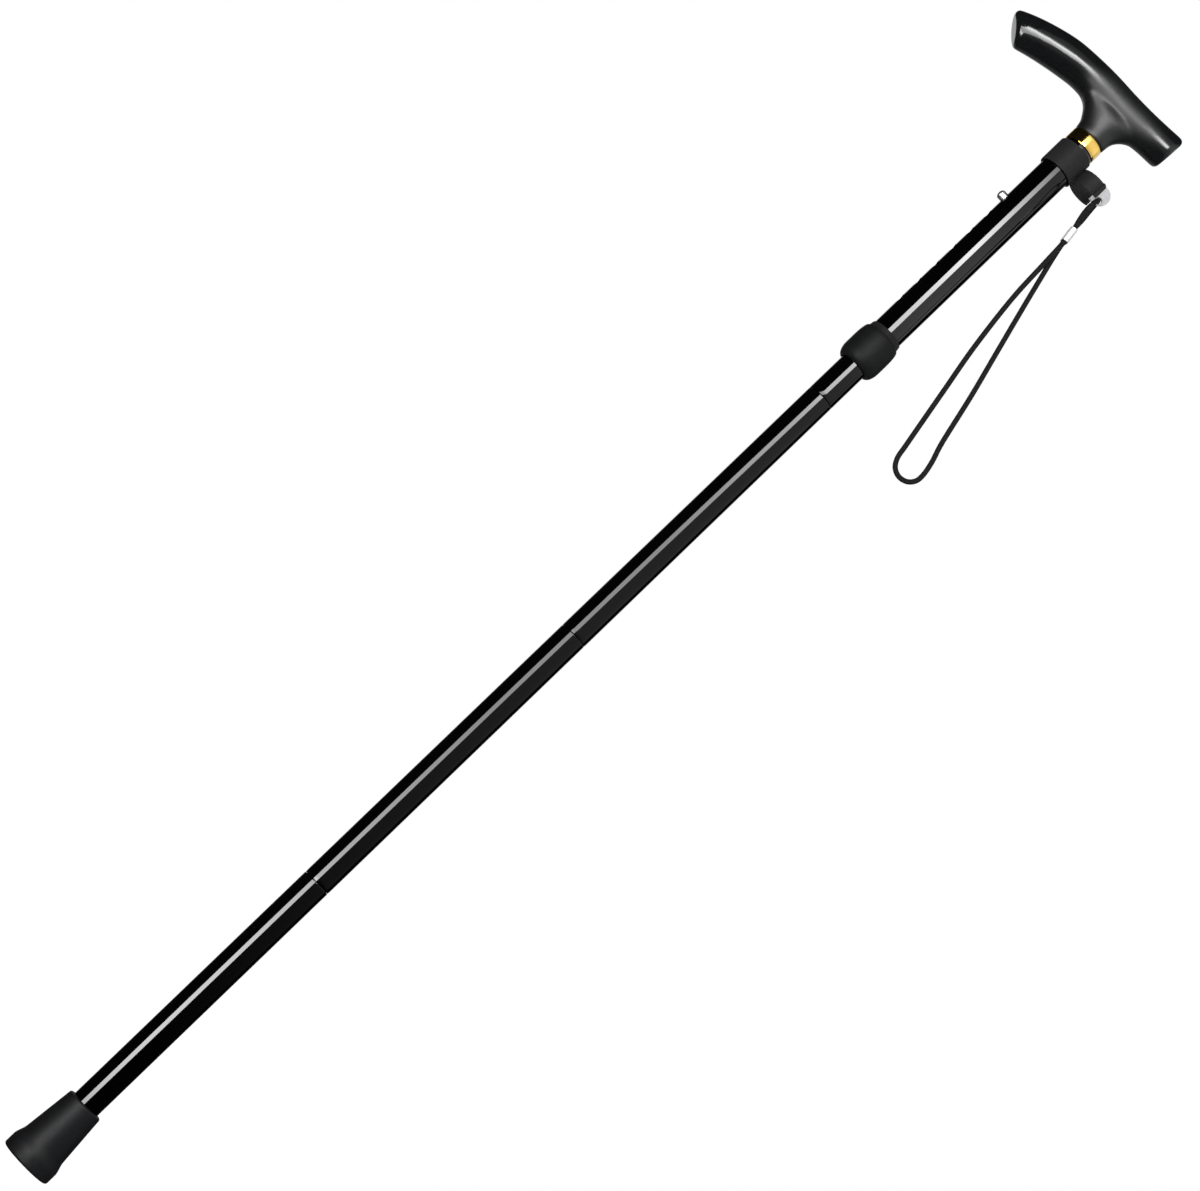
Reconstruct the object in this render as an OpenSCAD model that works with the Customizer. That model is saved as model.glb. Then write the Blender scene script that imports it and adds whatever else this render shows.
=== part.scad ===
// Folding walking cane with a T handle, a sliding height lock, three fold joints,
// a storage clip with a wrist strap, and a rubber tip.
// Millimetres. The origin is the centre of the tip's sole, +Z runs up the shaft,
// and -X points along the long nose of the handle.

/* [Shaft] */
// Outside diameter of the inner tube and the folding sections
section_d = 18; // [16:0.5:20]
// Wall of the inner tube and the folding sections
section_wall = 1.2; // [0.9:0.1:1.5]
// Wall of the upper tube
upper_wall = 1.2; // [0.9:0.1:1.6]
// Height of the lowest fold joint above the floor
lower_l = 223; // [200:1:260]
// Length of the middle and the upper folding section
section_l = 204; // [190:1:230]
// Inner tube that shows below the locking nut
neck_l = 28; // [24:1:45]
// Upper tube that shows between the nut and the collar
upper_l = 169.5; // [165:0.5:200]
// From the collar down to the inner tube's top
inner_drop = 26.5; // [26:0.5:32]

/* [Fold joints] */
// Length of the rounded nose that enters the tube above
nose_l = 10; // [8:0.5:11]
// Seam that shows between two closed sections
seam_gap = 0.2; // [0.1:0.05:0.4]
// From the tube's side out to the fold axis
pivot_out = 0.8; // [0.5:0.1:1.5]
// Diameter of the shock cord
shock_d = 4.4; // [3:0.2:5]

/* [Height lock] */
// Distance between two height holes
hole_pitch = 15; // [12:0.5:16]
// Number of height holes
hole_count = 7; // [3:1:7]
// Diameter of the snap button
button_d = 6; // [5:0.5:7]
// How far the button stands out of the upper tube
button_out = 4.2; // [2:0.1:5]
// Upper tube from the collar down to the first hole
button_drop = 54; // [52:0.5:58]
// Outside diameter of the locking nut
nut_d = 27; // [26:0.5:32]
// Height of the locking nut
nut_h = 24; // [22:1:32]

/* [Handle] */
// Reach of the nose from the shaft's axis
nose_reach = 87; // [75:1:100]
// Reach of the tail from the shaft's axis
tail_reach = 41; // [35:1:50]
// Height of the handle above the collar
handle_h = 43; // [40:0.5:50]
// Width of the handle
handle_w = 24; // [22:0.5:30]
// Height of the brass collar
collar_h = 8.5; // [6:0.5:12]

/* [Clip] */
// Height of the clip's band
band_h = 18; // [14:0.5:20.5]
// Height of the clip's jaw
jaw_h = 10.5; // [9:0.5:13]
// Wall of the clip's band
band_wall = 1; // [0.8:0.1:1.2]
// Wall of the clip's jaw
jaw_wall = 1.8; // [1.4:0.1:2.4]
// Width of the jaw's mouth over the tube's diameter, as a share
jaw_mouth_share = 0.83; // [0.7:0.01:0.9]

/* [Strap] */
// Diameter of the strap's cord
strap_d = 3.2; // [2.4:0.1:3.3]
// Length of the metal crimp
crimp_l = 10; // [8:0.5:12]
// Radius of the tab that holds the strap
tab_r = 6.2; // [5.5:0.1:7]
// Thickness of the tab that holds the strap
tab_t = 2.4; // [1.8:0.1:3]

/* [Tip] */
// Diameter of the sole
tip_base_d = 33; // [30:0.5:38]
// Diameter of the tip's upper rim
tip_rim_d = 23.4; // [22.5:0.1:26]
// Height of the rubber tip
tip_h = 46; // [40:1:55]
// Height of the band round the sole
tip_band_h = 7.5; // [6:0.5:12]

/* [Hidden] */
$fn = 96;

// Colours
black_metal = [0.05, 0.05, 0.055];
black_plastic = [0.1, 0.1, 0.1];
dark_rubber = [0.14, 0.14, 0.14];
gold = [0.85, 0.65, 0.25];
steel = [0.7, 0.7, 0.72];
light_grey = [0.82, 0.82, 0.83];
grey_elastic = [0.25, 0.25, 0.27];

// Clearances
over = 1;
slide_clear = 0.3;
seat_clear = 0.05;
run_clear = 0.15;
cord_clear = 0.3;

// Shaft
section_r = section_d / 2;
bore_r = section_r - section_wall;
upper_bore_r = section_r + slide_clear;
upper_r = upper_bore_r + upper_wall;
seam_low = lower_l;
seam_mid = seam_low + section_l;
seam_top = seam_mid + section_l;
nut_z = seam_top + neck_l;
nut_top = nut_z + nut_h;
collar_z = nut_top + upper_l;
handle_z = collar_z + collar_h;
button_z = collar_z - button_drop;
inner_top = collar_z - inner_drop;

// Fold joints
pivot_x = section_r + pivot_out;
nose_clear = 0.35;
sweep_r = bore_r + pivot_x - nose_clear;
nose_steps = 8;
shock_r = shock_d / 2;
shock_hole_r = shock_r + cord_clear;
nose_lip = 2;
nose_root = 4;
link_low = 16;
link_l = 14;
knot_r = 4.2;
anchor_h = 8;
upper_anchor_drop = 49;
lower_anchor_z = 30;

// Height lock
button_r = button_d / 2;
button_hole_clear = 0.3;
flange_w = 1.2;
flange_r = button_r + flange_w;
flange_t = 1.2;
button_tip_r = 1;
spring_t = 0.6;
spring_w = 7;
spring_l = 26;
spring_over = 5;
sleeve_low = 2.5;
sleeve_step = 9;
sleeve_wall = 1;
sleeve_edge_share = 0.33;
sleeve_top_l = 4;
sleeve_r = upper_r + seat_clear + sleeve_wall;
collet_tip_in = 0.8;
collet_l = 4.5;
slot_w = 1;
slot_l = 5;
slot_count = 4;
nut_lip = 2.2;
nut_r = nut_d / 2;
nut_round = 7.5;
nut_top_round = 10;
nut_end_in = 3.6;
nut_wall_min = 0.45;

// Handle
stem_out = 0.1;
stem_r = upper_r + stem_out;
plug_neck_r = 6.5;
plug_l = 22;
plug_depth = 22;
screw_r = 1.75;
screw_head_r = 3.4;
screw_head_h = 2.6;
screw_depth = 30;
collar_edge = 0.6;
collar_out = 0.45;
grip_sides = 28;
grip_power = 2.35;
grip_steps = 2;
end_round = 2.2;
// Each row is one cross section: x and z of its top, x and z of its bottom, half width.
// x is a share of the nose's or tail's reach, z of the handle's height, the width of half handle_w.
nose_shares = [
    [0.982, 0.591, 0.797, 0.183, 0.78],
    [0.867, 0.702, 0.710, 0.242, 0.88],
    [0.717, 0.814, 0.591, 0.307, 0.95],
    [0.545, 0.907, 0.464, 0.363, 0.99],
    [0.376, 0.944, 0.333, 0.405, 1.00],
    [0.184, 0.960, 0.172, 0.391, 1.00],
    [0.000, 0.953, 0.000, 0.384, 0.98]
];
tail_shares = [
    [0.341, 0.957, 0.317, 0.395, 0.96],
    [0.634, 0.974, 0.605, 0.433, 0.93],
    [0.944, 1.000, 0.917, 0.449, 0.90]
];
// Each row is one level of the stem: z of the handle's height, then left, right and half width of stem_r.
stem_shares = [
    [0.000, 1.00, 1.00, 1.00],
    [0.131, 1.08, 1.03, 1.01],
    [0.217, 1.27, 1.10, 1.03],
    [0.302, 1.51, 1.30, 1.06],
    [0.377, 1.87, 1.60, 1.08],
    [0.449, 2.55, 2.08, 1.05],
    [0.547, 3.20, 2.60, 0.90],
    [0.644, 2.80, 2.30, 0.72]
];
cap_shares = [[0.45, 0.12], [0.8, 0.42], [1, 0.85]];

// Clip
clip_clear = 0.2;
clip_drop = 2;
band_r = upper_r + clip_clear;
band_out_r = band_r + band_wall;
band_z = collar_z - clip_drop - band_h;
jaw_drop = 4.5;
jaw_z = band_z + band_h - jaw_drop - jaw_h;
jaw_clear = 0.1;
jaw_r = section_r + jaw_clear;
jaw_web_share = 1.3;
jaw_web = jaw_web_share * band_wall;
jaw_x = band_r + jaw_web + jaw_r;
jaw_angle = asin(jaw_mouth_share * section_r / jaw_r);
lip_r = jaw_wall / 2;

// Strap
strap_r = strap_d / 2;
strap_sides = 8;
strap_span_share = 3;
crimp_wall = 0.6;
tab_wall = 0.8;
tab_turn = 6;
tab_angle = jaw_angle + tab_turn;
tab_boss_r = tab_t / 2 + tab_wall;
tab_boss_out = jaw_r + tab_boss_r + jaw_clear;
tab_boss_x = jaw_x + tab_boss_out * cos(tab_angle);
tab_y = -tab_boss_out * sin(tab_angle);
tab_root = 1.4;
tab_out = 2.2;
tab_x = tab_boss_x + tab_out;
jaw_round = 4;
jaw_ease = 0.15;
jaw_end = tab_boss_x + tab_boss_r;
tab_drop = 7;
tab_z = jaw_z + jaw_h - tab_drop;
tab_hole_clear = 0.6;
tab_hole_x = 1.3;
tab_hole_drop = tab_r - tab_wall - strap_r - tab_hole_clear;
// The strap's route: up from the crimp, through the tab, back through the crimp and round the hand loop
strap_route = [
    [32.4, -8.3, 809.5], [31.9, -8.3, 813], [31.9, -7.4, 817], [31.9, -5, 821.3], [31.6, -3.4, 825.4],
    [31.2, -3.1, 829], [30.8, -4, 832.4], [30.4, -6.4, 834.8], [30, -9.8, 835.7], [29.6, -13.2, 834.8],
    [29.2, -15.6, 832.4], [28.9, -16.5, 829], [28.9, -16.2, 825.4], [29.5, -14.7, 821.3], [30.7, -12.7, 817],
    [31.9, -11.7, 813], [32.7, -11.7, 807.6], [33.4, -11.7, 802.5], [33.8, -11.4, 796], [34.5, -10.9, 783],
    [36.2, -10.2, 755], [41.1, -10, 718], [47.1, -10, 686], [53.1, -10, 654.5], [54.9, -10, 645.2],
    [56.4, -10, 637.6], [59.6, -10, 632.4], [64.6, -10, 630.2], [70, -10, 631.4], [73.6, -10, 635.6],
    [74.2, -10, 641.5], [72.3, -10, 651], [68.2, -10, 664], [60.6, -10, 696], [52.2, -10, 727.5],
    [44.4, -9.8, 757], [37.6, -8.9, 784], [35.1, -8.5, 794.5], [33.4, -8.3, 802.5], [32.9, -8.3, 806]
];
// Places on the route where its two strands enter and leave the crimp
crimp_top = (strap_route[1] + strap_route[15]) / 2;
crimp_low = (strap_route[17] + strap_route[38]) / 2;
strand_gap = strap_route[1][1] - strap_route[15][1];

// Tip
tip_r = tip_base_d / 2;
tip_rim_r = tip_rim_d / 2;
tip_floor = 12;
tip_step = 1.3;
tip_flare_l = 8;
tip_flare_steps = 8;
tip_edge = 1.6;
washer_h = 1.5;
washer_hole_r = 4;
tip_wall_round = 1.6;
groove_d = 1.2;
groove_w = 1.6;
groove_shares = [0.45, 0.72];
tube_foot_z = tip_floor + washer_h;

// Points on an arc in the plane of a profile
function arc(x, y, r, a, b, n) = [
    for (i = [0:n])
        let (t = a + (b - a) * i / n)
        [x + r * cos(t), y + r * sin(t)]
];

// Power curve through one corner of a rounded box
function power_of(c, p) = sign(c) * pow(abs(c), 2 / p);

// A ring of points in the plane of two half axes
function oval_ring(mid, u, v) = [
    for (i = [0:grip_sides - 1])
        let (a = 360 * i / grip_sides)
            mid + u * power_of(cos(a), grip_power) + v * power_of(sin(a), grip_power)
];

// A smooth curve through rows of numbers, two ends held
function through(p, i, t) =
    let (
        a = p[max(i - 1, 0)],
        b = p[i],
        c = p[i + 1],
        d = p[min(i + 2, len(p) - 1)]
    )
    (2 * b + (c - a) * t + (2 * a - 5 * b + 4 * c - d) * t * t + (3 * b - a - 3 * c + d) * t * t * t) / 2;

function refined(p, steps) = concat(
    [for (i = [0:len(p) - 2], j = [0:steps - 1]) through(p, i, j / steps)],
    [p[len(p) - 1]]
);

// Two end faces and the bands between stacked rings
module skin(rings) {
    n = len(rings[0]);
    last = len(rings) - 1;
    points = [for (ring = rings, p = ring) p];
    sides = [
        for (k = [0:last - 1], i = [0:n - 1])
            let (j = (i + 1) % n)
            each [
                [k * n + i, (k + 1) * n + j, k * n + j],
                [k * n + i, (k + 1) * n + i, (k + 1) * n + j]
            ]
    ];
    low = [for (i = [1:n - 2]) [0, i, i + 1]];
    high = [for (i = [1:n - 2]) [last * n, last * n + i + 1, last * n + i]];
    polyhedron(points, concat(sides, low, high));
}

module pipe(out_r, in_r, low, high) {
    translate([0, 0, low])
        difference() {
            cylinder(r = out_r, h = high - low);
            translate([0, 0, -over])
                cylinder(r = in_r, h = high - low + 2 * over);
        }
}

// Tube with the rounded nose that follows the arc swept by the fold
function nose_r(h) = sqrt(sweep_r * sweep_r - h * h) - pivot_x;

module nosed_tube(low, seam) {
    shoulder = seam - seam_gap;
    outline = concat(
        [[bore_r, low], [section_r, low], [section_r, shoulder], [nose_r(0), shoulder]],
        [for (i = [0:nose_steps]) let (h = nose_l * i / nose_steps) [nose_r(h), seam + h]],
        [[shock_hole_r, seam + nose_l], [shock_hole_r, seam + nose_l - nose_lip], [bore_r, seam - nose_root]]
    );
    rotate_extrude()
        polygon(outline);
}

module fold_section(low, seam) {
    color(black_metal)
        nosed_tube(low, seam);
}

module shock_cord(low, high) {
    color(grey_elastic)
        translate([0, 0, low])
            cylinder(r = shock_r, h = high - low);
}

// Stretch of shock cord just above a nose, which a pull draws down with the section
module cord_link(seam) {
    shock_cord(seam + link_low, seam + link_low + link_l);
}

module anchor_disc(low) {
    color(black_plastic)
        pipe(bore_r - seat_clear, shock_hole_r, low, low + anchor_h);
}

// How far the knot's middle stands off the hole that stops it
knot_off = sqrt(knot_r * knot_r - shock_hole_r * shock_hole_r) + seat_clear;
upper_anchor_z = button_z - upper_anchor_drop;

// Handle
function grip_row(row, reach, sense) = [
    sense * row[0] * reach, handle_z + row[1] * handle_h,
    sense * row[2] * reach, handle_z + row[3] * handle_h,
    row[4] * handle_w / 2
];
function grip_rows() = concat(
    [for (row = nose_shares) grip_row(row, nose_reach, -1)],
    [for (row = tail_shares) grip_row(row, tail_reach, 1)]
);
// One cross section, moved out along the bar and drawn in at a rounded end
function grip_ring(row, out, drawn_in) =
    let (
        top = [row[0], 0, row[1]],
        low = [row[2], 0, row[3]],
        half = norm(top - low) / 2,
        up = (top - low) / (2 * half),
        ahead = [up[2], 0, -up[0]]
    )
    oval_ring((top + low) / 2 + ahead * out, up * (half - drawn_in), [0, -1, 0] * (row[4] - drawn_in));

module grip_bar() {
    rows = refined(grip_rows(), grip_steps);
    last = len(rows) - 1;
    steps = len(cap_shares) - 1;
    skin(concat(
        [
            for (i = [steps:-1:0])
                grip_ring(rows[0], -end_round * cap_shares[i][0], end_round * cap_shares[i][1])
        ],
        [for (i = [0:last]) grip_ring(rows[i], 0, 0)],
        [for (s = cap_shares) grip_ring(rows[last], end_round * s[0], end_round * s[1])]
    ));
}

module grip_stem() {
    rows = refined(stem_shares, grip_steps);
    skin([
        for (row = rows)
            oval_ring(
                [(row[2] - row[1]) * stem_r / 2, 0, handle_z + row[0] * handle_h],
                [(row[2] + row[1]) * stem_r / 2, 0, 0],
                [0, row[3] * stem_r, 0]
            )
    ]);
}

module handle_grip() {
    color(black_plastic)
        difference() {
            union() {
                grip_bar();
                grip_stem();
            }
            translate([0, 0, handle_z - over])
                cylinder(r = plug_neck_r + seat_clear, h = plug_depth + over);
            translate([0, 0, handle_z - over])
                cylinder(r = screw_r + seat_clear, h = screw_depth + over);
        }
}

module handle_plug() {
    neck_top = handle_z + plug_depth - seat_clear;
    foot = collar_z - plug_l;
    hole_r = screw_r + seat_clear;
    head_r = screw_head_r + seat_clear;
    color(black_plastic)
        rotate_extrude()
            polygon([
                [head_r, foot], [upper_bore_r - seat_clear, foot], [upper_bore_r - seat_clear, collar_z],
                [plug_neck_r, collar_z], [plug_neck_r, neck_top], [hole_r, neck_top],
                [hole_r, foot + screw_head_h], [head_r, foot + screw_head_h]
            ]);
}

module handle_screw() {
    foot = collar_z - plug_l;
    color(steel)
        rotate_extrude()
            polygon([
                [0, foot], [screw_head_r, foot], [screw_head_r, foot + screw_head_h - seat_clear],
                [screw_r, foot + screw_head_h - seat_clear], [screw_r, handle_z + screw_depth - screw_r],
                [0, handle_z + screw_depth - seat_clear]
            ]);
}

module brass_collar() {
    out_r = upper_r + collar_out;
    in_r = plug_neck_r + seat_clear;
    color(gold)
        rotate_extrude()
            polygon([
                [in_r, collar_z], [out_r - collar_edge, collar_z], [out_r, collar_z + collar_edge],
                [out_r, handle_z - collar_edge], [out_r - collar_edge, handle_z], [in_r, handle_z]
            ]);
}

// Upper tube and height lock
module upper_tube() {
    color(black_metal)
        difference() {
            pipe(upper_r, upper_bore_r, nut_z + sleeve_step, collar_z);
            for (i = [0:hole_count - 1])
                translate([0, 0, button_z - i * hole_pitch])
                    rotate([0, -90, 0])
                        cylinder(r = button_r + button_hole_clear, h = upper_r + over);
        }
}

module collet_sleeve() {
    low = nut_z + sleeve_low;
    step = nut_z + sleeve_step;
    top = nut_top + sleeve_top_l;
    grip_r = section_r + run_clear;
    seat_r = upper_r + seat_clear;
    color(black_plastic)
        difference() {
            rotate_extrude()
                polygon([
                    [grip_r, low], [sleeve_r - collet_tip_in, low], [sleeve_r, low + collet_l],
                    [sleeve_r, nut_top], [seat_r + sleeve_edge_share * sleeve_wall, top], [seat_r, top],
                    [seat_r, step], [grip_r, step]
                ]);
            for (i = [0:slot_count - 1])
                rotate([0, 0, (i + 0.5) * 360 / slot_count])
                    translate([0, -slot_w / 2, low - over])
                        cube([sleeve_r + over, slot_w, slot_l + over]);
        }
}

module locking_nut() {
    seat = nut_z + nut_lip;
    thread_r = sleeve_r + run_clear;
    mouth_r = section_r + slide_clear;
    low_r = nut_r - nut_end_in;
    top_in = min(nut_end_in, nut_r - thread_r - nut_wall_min);
    color(dark_rubber)
        rotate_extrude()
            polygon(concat(
                [[mouth_r, nut_z], [low_r, nut_z]],
                [
                    for (p = arc(0, 0, 1, -90, 0, 8))
                        [low_r + nut_end_in * p[0], nut_z + nut_round * (1 + p[1])]
                ],
                [
                    for (p = arc(0, 0, 1, 0, 90, 8))
                        [nut_r - top_in + top_in * p[0], nut_top - nut_top_round * (1 - p[1])]
                ],
                [
                    [thread_r, nut_top], [thread_r, nut_z + sleeve_low + collet_l],
                    [thread_r - collet_tip_in, seat], [mouth_r, seat]
                ]
            ));
}

module inner_tube() {
    color(black_metal)
        difference() {
            pipe(section_r, bore_r, seam_top, inner_top);
            translate([0, 0, button_z])
                rotate([0, -90, 0])
                    cylinder(r = button_r + button_hole_clear, h = section_r + over);
        }
}

// Where the button's flange bears on the curved wall inside the inner tube
flange_x = sqrt(bore_r * bore_r - flange_r * flange_r) - run_clear;

module snap_button() {
    tip = upper_r + button_out;
    color(steel)
        translate([0, 0, button_z])
            rotate([0, -90, 0])
                rotate_extrude()
                    polygon(concat(
                        [[0, flange_x - flange_t], [flange_r, flange_x - flange_t], [flange_r, flange_x],
                         [button_r, flange_x]],
                        arc(button_r - button_tip_r, tip - button_tip_r, button_tip_r, 0, 90, 6),
                        [[0, tip]]
                    ));
}

// Leaf spring folded into a V, from the back of the button to the far wall of the tube
module button_spring() {
    near_x = flange_t - flange_x + seat_clear;
    far_x = sqrt(bore_r * bore_r - spring_w * spring_w / 4) - run_clear;
    fold_x = (near_x + far_x) / 2;
    top = button_z + spring_over;
    low = button_z - spring_l;
    color(steel)
        translate([0, spring_w / 2, 0])
            rotate([90, 0, 0])
                linear_extrude(height = spring_w)
                    polygon([
                        [near_x, top], [near_x, button_z - flange_r], [fold_x - spring_t, low],
                        [fold_x + spring_t, low], [far_x, button_z - flange_r], [far_x, top],
                        [far_x - spring_t, top], [far_x - spring_t, button_z - flange_r],
                        [fold_x, low + 2 * spring_t], [near_x + spring_t, button_z - flange_r],
                        [near_x + spring_t, top]
                    ]);
}

module upper_cord_anchor() {
    anchor_disc(upper_anchor_z);
}

module lower_cord_anchor() {
    anchor_disc(lower_anchor_z);
}

// Shock cord: a stretch in each section, knotted behind the anchors at its two ends
module shock_cord_1() {
    knot_z = upper_anchor_z + anchor_h + knot_off;
    color(grey_elastic) {
        shock_cord(seam_top + link_low + link_l, knot_z);
        translate([0, 0, knot_z])
            sphere(r = knot_r);
    }
}

module shock_cord_2() {
    shock_cord(seam_mid + link_low + link_l, seam_top + nose_l);
}

module shock_cord_3() {
    shock_cord(seam_low + link_low + link_l, seam_mid + nose_l);
}

module shock_cord_4() {
    knot_z = lower_anchor_z - knot_off;
    color(grey_elastic) {
        shock_cord(knot_z, seam_low + nose_l);
        translate([0, 0, knot_z])
            sphere(r = knot_r);
    }
}

// Clip and strap
module jaw_outline() {
    reach = 2 * (jaw_r + jaw_wall);
    translate([jaw_x, 0])
        difference() {
            circle(r = jaw_r + jaw_wall);
            polygon([
                [0, 0],
                reach * [cos(jaw_angle), -sin(jaw_angle)],
                reach * [1, 0],
                reach * [cos(jaw_angle), sin(jaw_angle)]
            ]);
        }
    for (side = [-1, 1])
        translate([
            jaw_x + (jaw_r + lip_r) * cos(jaw_angle),
            side * (jaw_r + lip_r) * sin(jaw_angle)
        ])
            circle(r = lip_r);
    translate([tab_boss_x, tab_y])
        circle(r = tab_boss_r);
}

// What the round of the jaw's upper free corner takes off; it meets the faces at a slight angle, never tangent
module jaw_corner() {
    half_w = tab_boss_r - tab_y + over;
    translate([jaw_end + jaw_ease - jaw_round, half_w, jaw_z + jaw_h + jaw_ease - jaw_round])
        rotate([90, 0, 0])
            linear_extrude(height = 2 * half_w)
                difference() {
                    square(jaw_round + over);
                    circle(r = jaw_round);
                }
}

module storage_clip() {
    color(black_plastic)
        difference() {
            union() {
                translate([0, 0, band_z])
                    cylinder(r = band_out_r, h = band_h);
                translate([0, 0, jaw_z])
                    linear_extrude(height = jaw_h)
                        jaw_outline();
            }
            translate([0, 0, band_z - over])
                cylinder(r = band_r, h = band_h + 2 * over);
            translate([jaw_x, 0, jaw_z - over])
                cylinder(r = jaw_r, h = jaw_h + 2 * over);
            translate([tab_boss_x - tab_root, tab_y - tab_t / 2 - seat_clear, jaw_z - over])
                cube([tab_root + tab_boss_r + over, tab_t + 2 * seat_clear, jaw_h + 2 * over]);
            jaw_corner();
        }
}

// Half-round tab set in a slot of the jaw's front lip
module strap_tab() {
    foot = tab_root + tab_out - seat_clear;
    color(light_grey)
        translate([tab_x, tab_y + tab_t / 2, tab_z])
            rotate([90, 0, 0])
                linear_extrude(height = tab_t)
                    difference() {
                        union() {
                            intersection() {
                                circle(r = tab_r);
                                translate([0, -tab_r])
                                    square([tab_r, 2 * tab_r]);
                            }
                            translate([-foot, -tab_r])
                                square([foot + seat_clear, 2 * tab_r]);
                        }
                        translate([tab_hole_x, -tab_hole_drop])
                            circle(r = strap_r + tab_hole_clear);
                    }
}

module strap_crimp() {
    way = crimp_top - crimp_low;
    lean = atan2(way[0], way[2]);
    thick_r = strap_r + crimp_wall;
    color(steel)
        translate((crimp_top + crimp_low) / 2)
            rotate([0, lean, 0])
                translate([0, 0, -crimp_l / 2])
                    difference() {
                        union() {
                            for (side = [-1, 1])
                                translate([0, side * strand_gap / 2, 0])
                                    cylinder(r = thick_r, h = crimp_l);
                            translate([-thick_r, -strand_gap / 2, 0])
                                cube([2 * thick_r, strand_gap, crimp_l]);
                        }
                        for (side = [-1, 1])
                            translate([0, side * strand_gap / 2, -over])
                                cylinder(r = strap_r + seat_clear, h = crimp_l + 2 * over);
                    }
}

// The strap's points, with one more on each long stretch
function strap_points() = concat(
    [
        for (i = [0:len(strap_route) - 2])
            let (steps = norm(strap_route[i + 1] - strap_route[i]) > strap_span_share * strap_d ? 2 : 1)
            each [for (j = [0:steps - 1]) through(strap_route, i, j / steps)]
    ],
    [strap_route[len(strap_route) - 1]]
);

module strap_cord() {
    line = strap_points();
    last = len(line) - 1;
    aside = [1, 1, 0];
    color(black_plastic)
        skin([
            for (i = [0:last])
                let (
                    way = line[min(i + 1, last)] - line[max(i - 1, 0)],
                    u = cross(aside, way) / norm(cross(aside, way)),
                    v = cross(way, u) / norm(way)
                )
                [
                    for (k = [0:strap_sides - 1])
                        let (a = 360 * k / strap_sides)
                        line[i] + strap_r * (u * cos(a) + v * sin(a))
                ]
        ]);
}

// Folding sections
module upper_section() {
    fold_section(seam_mid, seam_top);
}

module middle_section() {
    fold_section(seam_low, seam_mid);
}

module lower_section() {
    color(black_metal)
        nosed_tube(tube_foot_z, seam_low);
}

module cord_link_1() {
    cord_link(seam_top);
}

module cord_link_2() {
    cord_link(seam_mid);
}

module cord_link_3() {
    cord_link(seam_low);
}

// Tip
module tip_washer() {
    color(steel)
        pipe(section_r - seat_clear, washer_hole_r, tip_floor, tip_floor + washer_h);
}

// The tip's cone below its rim, and the flare that swings out to the band round the sole
function tip_cone_r(z) =
    tip_rim_r + (tip_r - tip_step - tip_rim_r) * (tip_h - z) / (tip_h - tip_band_h);

function tip_flare() = [
    for (i = [0:tip_flare_steps])
        let (t = i / tip_flare_steps, z = tip_band_h + t * tip_flare_l)
        [tip_cone_r(z) + tip_step * (1 + cos(180 * t)) / 2, z]
];

module rubber_tip() {
    socket_r = section_r + seat_clear;
    color(dark_rubber)
        difference() {
            rotate_extrude()
                polygon(concat(
                    [[0, 0], [tip_r - tip_edge, 0]],
                    arc(tip_r - tip_edge, tip_edge, tip_edge, -90, 0, 6),
                    tip_flare(),
                    arc(tip_rim_r - tip_wall_round, tip_h - tip_wall_round, tip_wall_round, 0, 90, 5),
                    [[socket_r, tip_h], [socket_r, tip_floor], [0, tip_floor]]
                ));
            for (share = groove_shares)
                translate([0, 0, -over])
                    pipe(share * tip_r + groove_w, share * tip_r, 0, groove_d + over);
        }
}

handle_grip();
handle_plug();
handle_screw();
brass_collar();
upper_tube();
collet_sleeve();
locking_nut();
storage_clip();
strap_tab();
strap_crimp();
strap_cord();
inner_tube();
snap_button();
button_spring();
upper_cord_anchor();
shock_cord_1();
cord_link_1();
upper_section();
shock_cord_2();
cord_link_2();
middle_section();
shock_cord_3();
cord_link_3();
lower_section();
shock_cord_4();
lower_cord_anchor();
tip_washer();
rubber_tip();
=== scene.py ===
"""Folding walking cane with a T handle: finishes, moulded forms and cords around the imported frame."""
import math

import bmesh
import bpy
import numpy as np
from mathutils import Matrix, Vector


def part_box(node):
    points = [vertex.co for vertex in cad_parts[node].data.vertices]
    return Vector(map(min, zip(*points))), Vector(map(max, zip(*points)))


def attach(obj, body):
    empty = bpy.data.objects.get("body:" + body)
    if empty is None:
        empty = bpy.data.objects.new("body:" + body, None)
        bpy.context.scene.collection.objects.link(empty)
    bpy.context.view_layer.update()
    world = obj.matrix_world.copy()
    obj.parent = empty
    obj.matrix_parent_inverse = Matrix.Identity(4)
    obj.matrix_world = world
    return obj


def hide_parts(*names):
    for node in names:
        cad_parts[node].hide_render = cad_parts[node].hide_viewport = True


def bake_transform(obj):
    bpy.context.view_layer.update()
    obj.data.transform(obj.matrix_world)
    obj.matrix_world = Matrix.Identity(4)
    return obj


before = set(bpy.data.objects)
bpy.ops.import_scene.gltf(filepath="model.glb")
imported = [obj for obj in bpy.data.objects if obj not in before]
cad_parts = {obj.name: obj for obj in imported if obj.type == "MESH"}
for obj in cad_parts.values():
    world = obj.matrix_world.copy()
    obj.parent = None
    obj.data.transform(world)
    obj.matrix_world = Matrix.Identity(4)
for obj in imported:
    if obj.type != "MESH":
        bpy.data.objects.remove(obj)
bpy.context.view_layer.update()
MM = 0.001

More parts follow.
